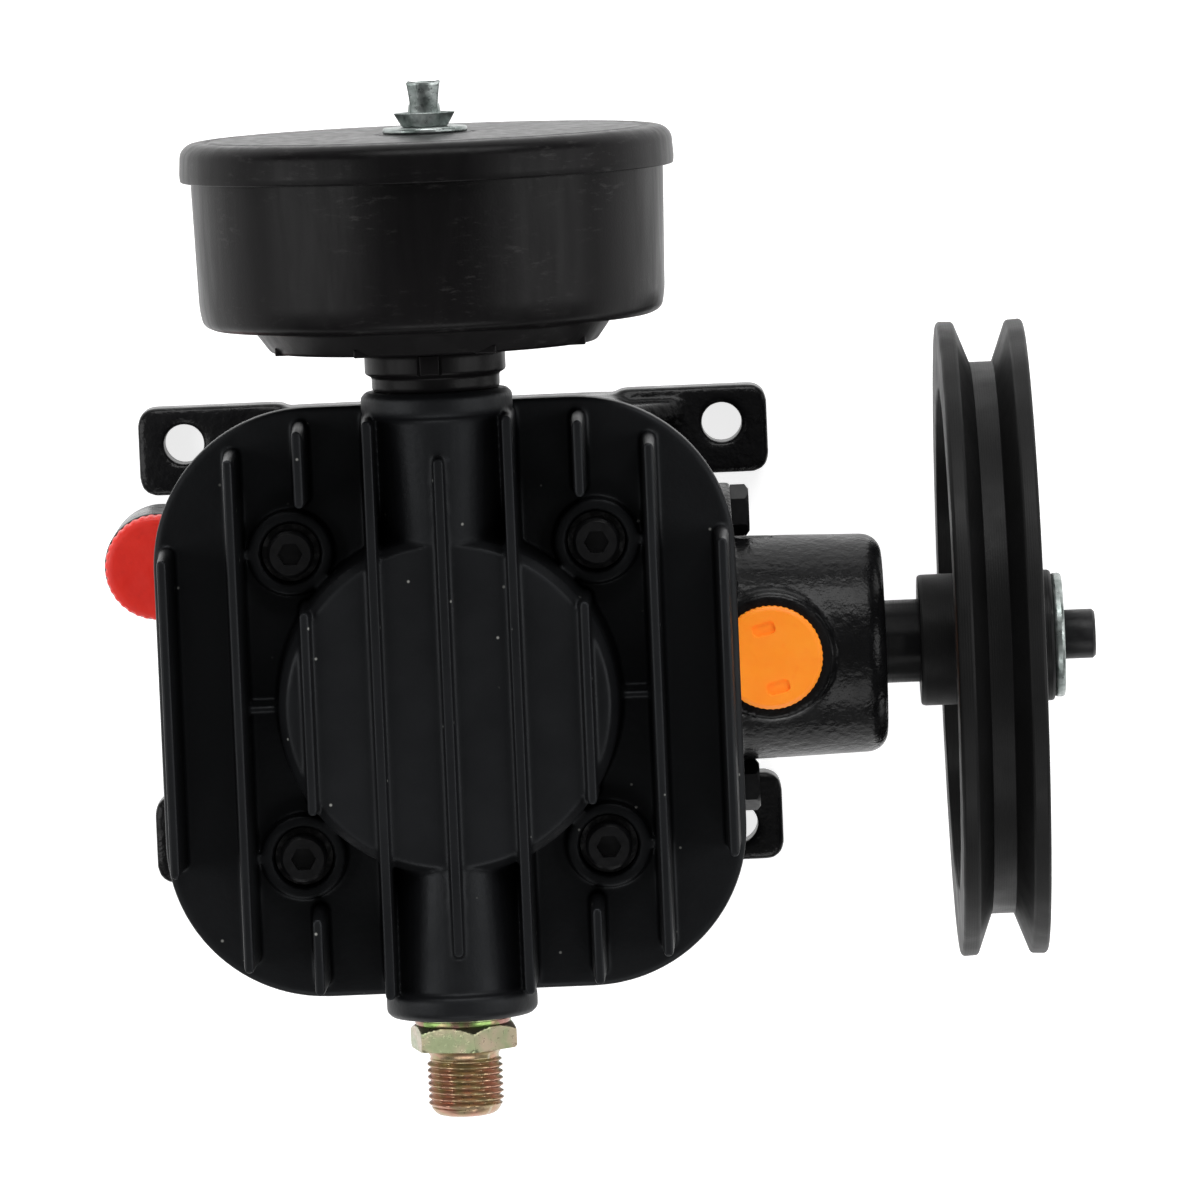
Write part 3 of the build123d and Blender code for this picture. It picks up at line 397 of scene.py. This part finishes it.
def swept(profile, axis, centre, segments, shape=None):
    """Mesh turned round an axis. shape(angle, radius, station) may change each radius. Millimetres in."""
    build = bmesh.new()
    rings = []
    for r, h in profile:
        ring = []
        for i in range(segments):
            angle = 2 * math.pi * i / segments
            radius = shape(angle, r, h) if shape else r
            u = centre[0] + radius * math.cos(angle)
            v = centre[1] + radius * math.sin(angle)
            spot = {"x": (h, u, v), "y": (u, h, v), "z": (u, v, h)}[axis]
            ring.append(build.verts.new([c * MM for c in spot]))
        rings.append(ring)
    for k, ring in enumerate(rings):
        following = rings[(k + 1) % len(rings)]
        for i in range(segments):
            j = (i + 1) % segments
            build.faces.new((ring[i], ring[j], following[j], following[i]))
    bmesh.ops.remove_doubles(build, verts=build.verts, dist=1e-6)
    bmesh.ops.dissolve_degenerate(build, edges=build.edges, dist=1e-7)
    bmesh.ops.recalc_face_normals(build, faces=build.faces)
    mesh = bpy.data.meshes.new("swept")
    build.to_mesh(mesh)
    build.free()
    return mesh


def joined(*meshes):
    """One mesh that holds several closed ones."""
    build = bmesh.new()
    for mesh in meshes:
        build.from_mesh(mesh)
    result = bpy.data.meshes.new("joined")
    build.to_mesh(result)
    build.free()
    return result


def evaluated(mesh, *modifiers):
    """Mesh with modifiers, given as (kind, settings), applied to it."""
    holder = bpy.data.objects.new("holder", mesh)
    bpy.context.scene.collection.objects.link(holder)
    for kind, settings in modifiers:
        modifier = holder.modifiers.new(kind.lower(), kind)
        for key, value in settings.items():
            setattr(modifier, key, value)
    graph = bpy.context.evaluated_depsgraph_get()
    result = bpy.data.meshes.new_from_object(holder.evaluated_get(graph))
    bpy.data.objects.remove(holder)
    return result


def cut(mesh, *cutters):
    """Mesh with each cutter mesh taken out of it."""
    for cutter in cutters:
        tool = bpy.data.objects.new("cutter", cutter)
        bpy.context.scene.collection.objects.link(tool)
        mesh = evaluated(mesh, ("BOOLEAN", {"operation": "DIFFERENCE", "object": tool, "solver": "EXACT"}))
        bpy.data.objects.remove(tool)
    return mesh


def slab(low, high, rounding=0.4):
    """Box between two corners in millimetres, with rounded edges."""
    build = bmesh.new()
    bmesh.ops.create_cube(build, size=1)
    for vert in build.verts:
        for i in range(3):
            vert.co[i] = (low[i] if vert.co[i] < 0 else high[i]) * MM
    bmesh.ops.bevel(build, geom=build.edges[:], offset=rounding * MM, segments=3, affect="EDGES", profile=0.5)
    mesh = bpy.data.meshes.new("slab")
    build.to_mesh(mesh)
    build.free()
    return mesh


# ---------------------------------------------------------------- castings

def casting(name, node, voxel, smooth, keep):
    """A casting with its sharp CAD edges and corners flowed into small radii."""
    mesh = evaluated(
        NODES[node].data.copy(),
        ("WELD", {"merge_threshold": 0.00002}),
        ("REMESH", {"mode": "VOXEL", "voxel_size": voxel * MM, "adaptivity": 0.0}),
        ("SMOOTH", {"factor": 0.5, "iterations": smooth}),
        ("DECIMATE", {"ratio": keep}),
    )
    stand_in(name, mesh, node, sharp=60)


def castings():
    """Each call gives a voxel size in millimetres, smoothing passes and the share of faces kept."""
    casting("head_casting", "cylinder_head", 0.62, 4, 0.45)
    casting("crankcase_casting", "crankcase", 1.1, 5, 0.5)
    casting("front_housing_casting", "front_housing", 0.8, 5, 0.5)
    casting("rear_cover_casting", "rear_cover", 0.9, 5, 0.5)
    casting("cylinder_casting", "cylinder", 0.8, 2, 0.5)


# ---------------------------------------------------------------- intake filter

FILTER = (0, PORT_Z / MM)     # X and Z of the intake and outlet axis, in millimetres


def filter_canister():
    """Bowl with a dished floor, a hub for the stud, four ribs over the neck and eight pads under the dish."""
    z = FILTER[1]
    wall = [(16, 99, 0.5), (45, 99, 1.2), (49.5, 105.2, 1), (51, 106, 0.6), (60.5, 106, 1),
            (63.4, 107.4, 1.6), (64.3, 112, 2), (65.2, 145, 1), (65.2, 152, 0.6), (62.7, 152, 0.6),
            (61.7, 109, 1.5), (48, 109, 1.5), (43, 101.5, 1), (16, 101.5, 0.5)]
    bowl = swept(softened(wall), "y", FILTER, 192)
    hub = swept(softened([(3.1, 99, 0.3), (7, 99, 0.5), (6.6, 107, 0.6), (3.1, 107, 0.3)]), "y", FILTER, 64)
    ribs = []
    for inner, outer in ((-17.5, -5), (5, 17.5)):
        ribs.append(slab((inner, 99.2, z - 1.5), (outer, 101.3, z + 1.5)))
        ribs.append(slab((-1.5, 99.2, z + inner), (1.5, 101.3, z + outer)))
    pads = []
    pad_count = 8
    pad_ring = 43
    pad_half = 3
    for i in range(pad_count):
        angle = math.radians(25 + 360 / pad_count * i)
        u = pad_ring * math.cos(angle)
        v = z + pad_ring * math.sin(angle)
        pads.append(slab((u - pad_half, 98.9, v - pad_half), (u + pad_half, 101.2, v + pad_half)))
    stand_in("filter_canister", joined(bowl, hub, *ribs, *pads), "filter_housing")


def filter_lid():
    """Lid with a skirt over the bowl and a shallow groove near its edge and round its washer."""
    rim = [(3.5, 154, 0), (61, 154, 1), (65.6, 152.6, 1), (65.6, 147, 0.3), (68.1, 147, 0.5),
           (68.3, 149, 0.5), (67.9, 155.3, 2.4), (65.6, 157.5, 2), (62, 157.9, 0.6), (60.8, 157.2, 0.4),
           (59.6, 157.9, 0.5), (14.5, 157.9, 0.4), (13.6, 157.3, 0.4), (12.6, 158, 0.2), (3.5, 158, 0.2)]
    stand_in("filter_lid_moulding", swept(softened(rim), "y", FILTER, 224), "filter_cover")


def filter_neck():
    """Stepped tube between the head and the bowl, with a latch set in a recess on its top side."""
    profile = [(11, 75.5, 0.4), (14, 75.5, 0.8), (14, 87, 0), (17.3, 87, 0.4), (17.7, 88, 0.6),
               (17.7, 91, 0.6), (19.5, 92, 0.7), (19.5, 97, 0.8), (18.5, 99, 0.4), (11, 99, 0.3)]
    neck = swept(softened(profile), "y", FILTER, 128)
    z = FILTER[1]
    recess = slab((-4.6, 91.4, z + 18.4), (2.2, 98.0, z + 22), 0.3)
    latch = slab((-3.9, 92.0, z + 17.6), (1.5, 97.4, z + 19.2), 0.3)
    stand_in("filter_neck_moulding", joined(cut(neck, recess), latch), "filter_neck")


def filter_pleats():
    """Pleated paper between two moulded end rings."""
    pleats = 84
    pleat_depth = 2.2

    def folded(angle, radius, station):
        wave = 2 * abs((angle * pleats / (2 * math.pi)) % 1 - 0.5)
        return radius - pleat_depth * wave

    media = swept([(36.5, 110), (56, 110), (56, 151), (36.5, 151)], "y", FILTER, pleats * 6, folded)
    rings = []
    for low in (109.2, 148.5):
        ring = [(32, low, 0.6), (58, low, 0.8), (58, low + 3, 0.6), (32, low + 3, 0.5)]
        rings.append(swept(softened(ring), "y", FILTER, 128))
    stand_in("filter_pleated_element", joined(media, *rings), "filter_element", sharp=25)


def stud_thread():
    """Rod that holds the lid down, threaded where the wing nut turns."""
    pitch = 1.0
    depth = 0.5
    thread_from = 151
    bottom, top = 100.2, 171
    step = 0.25

    def thread(angle, radius, station):
        if radius == 0:
            return 0.0
        turn = (station / pitch - angle / (2 * math.pi)) % 1
        return radius - depth * abs(2 * turn - 1) if station > thread_from else radius - 0.1

    stations = [bottom + step * i for i in range(int((top - bottom) / step))]
    profile = [(0.0, bottom)] + [(3, h) for h in stations] + [(2.3, top), (0.0, top)]
    stand_in("filter_stud_rod", swept(profile, "y", FILTER, 32, thread), "filter_stud", sharp=50)


def wing_nut():
    """Pressed steel wing nut: a boat-shaped base with a curled wing on each side of the stud."""
    seat = 159.65
    boat_height = 4.0
    boss_radius = 5.2

    def boat(angle, radius, station):
        if radius < boss_radius:
            return radius
        rise = min(1.0, (station - seat) / boat_height)
        along = radius * (1 + 0.30 * rise) * abs(math.cos(angle)) ** 2
        across = radius * (0.93 - 0.05 * rise) * abs(math.sin(angle)) ** 2
        return along + across

    section = [(3.1, seat, 0.2), (6.3, seat, 0.4), (6.6, seat + 3.9, 0.25), (5.9, seat + 4.0, 0.25),
               (5.4, seat + 2.0, 0.8), (4.7, seat + 2.6, 0.6), (4.3, seat + 6.3, 0.4), (3.1, seat + 6.3, 0.2)]
    base = swept(softened(section), "y", FILTER, 96, boat)
    wings = [curled_wing(side, seat) for side in (-1, 1)]
    stand_in("wing_nut_pressing", joined(base, *wings), "wing_nut", sharp=40)


def curled_wing(side, seat):
    """One wing: a sheet curved across its width, leaning outward and flaring towards two horns."""
    build = bmesh.new()
    across = 16
    up = 14
    sheet = 1.0
    grid = []
    for j in range(up + 1):
        t = j / up
        half = 3.4 + 1.0 * t ** 2 + 0.9 * (1 - t) ** 6
        row = []
        for i in range(across + 1):
            s = 2 * i / across - 1
            x = half * s
            y = seat + 1.4 + 11.0 * t + (0.55 * abs(s) ** 3 + 0.25 * math.cos(3 * s) - 0.2) * t
            z = FILTER[1] + side * (4.3 + 1.5 * t - 1.7 * s * s * (0.8 + 0.2 * t))
            row.append(build.verts.new((x * MM, y * MM, z * MM)))
        grid.append(row)
    for j in range(up):
        for i in range(across):
            build.faces.new((grid[j][i], grid[j][i + 1], grid[j + 1][i + 1], grid[j + 1][i]))
    mesh = bpy.data.meshes.new("wing")
    build.to_mesh(mesh)
    build.free()
    return evaluated(mesh, ("SOLIDIFY", {"thickness": sheet * MM, "offset": 0.0}),
                     ("BEVEL", {"width": 0.2 * MM, "segments": 2, "limit_method": "ANGLE"}))


# ---------------------------------------------------------------- outlet fitting

def hexagon_limit(angle, flats):
    """Distance from the centre to a hexagon's side, one corner 12 degrees from +Z towards +X."""
    sector = math.radians(60)
    offset = (angle - math.radians(78)) % sector - sector / 2
    return flats / 2 / math.cos(offset)


def outlet_fitting():
    """Hexagon and G 1/2 thread turned from one bar."""
    flats = 27
    hexagon_from, hexagon_to = -89.3, -96.3
    turned = 15.7              # radius at which the hexagon's corners are turned off
    pitch = 1.814
    outer = 20.955 / 2
    depth = 1.162
    relief = 9.5               # radius of the plain neck before the thread
    start, end = -98.9, -112.8
    ring_step = 0.14

    def hexagon(angle, station):
        flange_side = turned - max(0.0, station + 91.2) * 1.35
        thread_side = turned - max(0.0, -95.6 - station) * 0.9
        return min(hexagon_limit(angle, flats), flange_side, thread_side)

    def thread(angle, station):
        turn = (-station / pitch + angle / (2 * math.pi)) % 1
        tooth = min(1.0, max(0.0, 1.25 * abs(2 * turn - 1) - 0.06))
        fade = min(1.0, (start - station) / 1.2)
        run_out = outer - max(0.0, -111.6 - station) * 0.7
        return min(outer - depth * (1 - tooth), run_out) * fade + relief * (1 - fade)

    def shape(angle, radius, station):
        if hexagon_to <= station <= hexagon_from and radius > 12:
            return hexagon(angle, station)
        if end <= station <= start and radius > 9:
            return thread(angle, station)
        return radius

    flange = [(5.5, -76, 0.3), (10.4, -76, 0.4), (10.4, -88, 0), (13.3, -88, 0.2), (13.35, -89.2, 0.3)]
    profile = softened(flange)
    profile += [(15.6, hexagon_from - 0.35 * i) for i in range(21)]
    profile += [(11.3, -96.5), (10.2, -97.2), (9.6, -98.2), (relief, -98.8)]
    profile += [(10.4, start - ring_step * i) for i in range(int((start - end) / ring_step) + 1)]
    profile += [(9.6, -112.9), (9.2, -113.6), (8.6, -114.3), (7.8, -114.8), (6.7, -115.1), (5.9, -115.1),
                (5.5, -114.7)]
    mesh = swept(profile, "y", FILTER, 180, shape)
    stand_in("outlet_fitting_threaded", mesh, "outlet_fitting", sharp=28)


# ---------------------------------------------------------------- caps

def knurled(rim_radius, teeth, depth, low, high):
    """Shape for swept() with fine teeth round the rim between two heights."""
    def shape(angle, radius, station):
        if radius > rim_radius - 0.6 and low < station < high:
            return radius - depth * (0.5 + 0.5 * math.cos(angle * teeth)) ** 2
        return radius
    return shape


def orange_cap():
    """Flat cap with a fine knurl and two slots turned a little from the X axis."""
    box_low, box_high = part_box("orange_cap")
    centre = ((box_low.x + box_high.x) / 2 / MM, 0)
    top = box_high.z / MM
    seat = top - 3.4
    profile = softened([(0, top - 0.25, 0), (9, top - 0.1, 1), (13.6, top, 0.4), (14.8, top - 0.5, 0.5),
                        (14.9, top - 1.2, 0.3), (14.9, seat, 0.2), (11.9, seat, 0.2), (11.9, seat - 8, 0.4),
                        (11.4, seat - 9, 0.3), (9.9, seat - 9, 0.3), (9.9, top - 2.2, 0.6),
                        (0, top - 2.2, 0)])
    disc = swept(profile, "z", centre, 216, knurled(14.9, 54, 0.35, seat, top - 0.6))
    turn = math.radians(12)
    slot_ring = 8.6
    slots = []
    for side in (-1, 1):
        x = centre[0] - side * slot_ring * math.sin(turn)
        y = side * slot_ring * math.cos(turn)
        slots.append(oval_cutter(x, y, turn, top - 1.3, top + 1))
    stand_in("orange_cap_moulding", cut(disc, *slots), "orange_cap", sharp=40)


def oval_cutter(x, y, turn, low, high):
    """Upright prism with a rounded oblong outline."""
    half_length = 3.3
    half_width = 1.85
    corner = 1.3
    corner_steps = 6
    outline = []
    for sx, sy, first in ((1, 1, 0), (-1, 1, 90), (-1, -1, 180), (1, -1, 270)):
        for step in range(corner_steps):
            angle = math.radians(first + 90 / (corner_steps - 1) * step)
            u = sx * (half_length - corner) + corner * math.cos(angle)
            v = sy * (half_width - corner) + corner * math.sin(angle)
            outline.append((x + u * math.cos(turn) - v * math.sin(turn),
                            y + u * math.sin(turn) + v * math.cos(turn)))
    build = bmesh.new()
    lower = [build.verts.new((u * MM, v * MM, low * MM)) for u, v in outline]
    upper = [build.verts.new((u * MM, v * MM, high * MM)) for u, v in outline]
    build.faces.new(lower[::-1])
    build.faces.new(upper)
    for i in range(len(outline)):
        j = (i + 1) % len(outline)
        build.faces.new((lower[i], lower[j], upper[j], upper[i]))
    mesh = bpy.data.meshes.new("oval")
    build.to_mesh(mesh)
    build.free()
    return mesh


def red_cap():
    """Deeper cap with a coarse knurl round its rim."""
    box_low, box_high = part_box("red_cap")
    centre = ((box_low.x + box_high.x) / 2 / MM, (box_low.y + box_high.y) / 2 / MM)
    top = box_high.z / MM
    seat = top - 5.8
    profile = softened([(0, top - 0.5, 0), (8, top - 0.35, 2), (13.0, top, 1), (14.4, top - 0.4, 0.8),
                        (15.0, top - 1.6, 0.5), (15.1, seat, 0.2), (10.4, seat, 0.2), (10.4, seat - 11, 0.4),
                        (9.9, seat - 12, 0.3), (8.3, seat - 12, 0.3), (8.3, top - 2.4, 0.6),
                        (0, top - 2.4, 0)])
    mesh = swept(profile, "z", centre, 288, knurled(15.0, 36, 0.35, seat, top - 0.5))
    stand_in("red_cap_moulding", mesh, "red_cap", sharp=40)


# ---------------------------------------------------------------- pulley and shaft end

CRANK = (0, CRANK_Z / MM)     # Y and Z of the crankshaft axis, in millimetres


def pulley():
    """V-groove wheel with a thin web, a long boss and round holes through the web."""
    hole_count = 5
    hole_ring = 46
    hole_radius = 14
    profile = [(12.05, 134, 0.4), (18.6, 134, 0.5), (19, 135, 0.5), (19, 149.6, 2.5), (72.5, 151, 3),
               (73, 142.4, 0.6), (91.3, 142.4, 0.5), (92, 143.2, 0.5), (91.8, 147.2, 0.8), (80, 151.6, 0.3),
               (80, 158.2, 0.3), (91.8, 162.6, 0.8), (92, 166.6, 0.5), (91.3, 167.4, 0.5), (73, 167.4, 0.6),
               (72.5, 158.8, 3), (19, 160.2, 2.5), (19, 172, 0.5), (18.4, 172.7, 0.4), (12.05, 172.7, 0.3)]
    wheel = swept(softened(profile), "x", CRANK, 224)
    holes = []
    for i in range(hole_count):
        angle = math.radians(90 + 360 / hole_count * i)
        centre = (hole_ring * math.cos(angle), CRANK[1] + hole_ring * math.sin(angle))
        drill = [(0, 140), (hole_radius, 140), (hole_radius, 170), (0, 170)]
        holes.append(swept(drill, "x", centre, 64))
    stand_in("pulley_wheel", cut(wheel, *holes), "pulley", sharp=35)


def pulley_washer():
    """Thick plated washer under the pulley bolt."""
    profile = softened([(4.6, 172.7, 0.2), (17.6, 172.7, 0.3), (18, 173.4, 0.4), (18, 175, 0.4),
                        (17.5, 175.7, 0.3), (4.6, 175.7, 0.2)])
    stand_in("pulley_washer_plated", swept(profile, "x", CRANK, 128), "pulley_washer")


def lid_washer():
    """Plated washer with a slightly domed edge, between the lid and the wing nut."""
    profile = softened([(3.5, 158, 0.1), (11.5, 158, 0.2), (11.75, 158.4, 0.2), (11.7, 159.2, 0.3),
                        (11.3, 159.6, 0.2), (3.5, 159.6, 0.1)])
    stand_in("filter_cover_washer_plated", swept(profile, "y", FILTER, 96), "filter_cover_washer")


# ---------------------------------------------------------------- carried-over CAD pieces

def dress_cad_nodes():
    """Give every CAD piece its own finish, and fine edge breaks to those thick enough for them."""
    thinnest = 0.003
    for name, piece in NODES.items():
        piece.data.materials.clear()
        piece.data.materials.append(CRANK_STEEL if name == "crankshaft" else MATERIALS[SLOT_OF[name]])
        if piece.hide_render:
            continue
        weld = piece.modifiers.new("weld", "WELD")
        weld.merge_threshold = 0.00001
        if min(piece.dimensions) > thinnest:
            bevel = piece.modifiers.new("edge_break", "BEVEL")
            bevel.width = 0.00025
            bevel.segments = 2
            bevel.limit_method = "ANGLE"
            bevel.angle_limit = math.radians(40)
            bevel.harden_normals = True


# ---------------------------------------------------------------- stage

def floor():
    """Plain pale floor that also glows a little, so that it stays white in the picture."""
    bpy.ops.mesh.primitive_plane_add(size=12, location=(0, 0, 0))
    ground = bpy.context.object
    ground.name = "studio_floor"
    m = Shader("studio_floor", roughness=0.9, specular=0.1)
    m.colour(m.mix(m.ramp(m.noise(0.4, 2), 0.3, 0.7), (0.60, 0.60, 0.60), (0.63, 0.63, 0.63)))
    m.surface.inputs["Emission Color"].default_value = (1, 1, 1, 1)
    m.surface.inputs["Emission Strength"].default_value = 0.80
    ground.data.materials.append(m.material)


def softbox(name, location, size, power):
    """Rectangular light aimed at the middle of the object."""
    target = (0.04, 0.0, 0.12)
    light = bpy.data.lights.new(name, "AREA")
    light.shape = "RECTANGLE"
    light.size, light.size_y = size
    light.energy = power
    holder = bpy.data.objects.new(name, light)
    bpy.context.scene.collection.objects.link(holder)
    holder.location = location
    holder.rotation_euler = (Vector(target) - Vector(location)).to_track_quat("-Z", "Y").to_euler()


def lights():
    """A stronger light from the filter side, three fills, and a faint even backdrop."""
    softbox("key_filter_side", (0.25, 1.7, 1.25), (1.8, 1.0), 34)
    softbox("fill_outlet_side", (0.1, -1.6, 1.5), (1.8, 0.9), 18)
    softbox("side_pulley", (1.7, 0.1, 1.3), (0.9, 1.8), 20)
    softbox("side_cover", (-1.7, 0.1, 1.3), (0.9, 1.8), 20)
    world = bpy.data.worlds.new("studio")
    bpy.context.scene.world = world
    world.use_nodes = True
    backdrop = world.node_tree.nodes["Background"]
    backdrop.inputs["Color"].default_value = (1, 1, 1, 1)
    backdrop.inputs["Strength"].default_value = 0.22


def camera():
    """Almost straight above the head, a little towards the filter side."""
    data = bpy.data.cameras.new("camera")
    data.sensor_width = 36
    data.lens = 306
    data.clip_end = 20
    holder = bpy.data.objects.new("camera", data)
    bpy.context.scene.collection.objects.link(holder)
    holder.location = (0.0585, 0.2677, 3.0393)
    holder.rotation_euler = (-0.0856, 0.0020, -0.0415)
    bpy.context.scene.camera = holder


camera()
castings()
filter_canister()
filter_lid()
filter_neck()
filter_pleats()
stud_thread()
wing_nut()
outlet_fitting()
orange_cap()
red_cap()
pulley()
pulley_washer()
lid_washer()
dress_cad_nodes()
floor()
lights()
bpy.context.scene.view_settings.view_transform = "Standard"
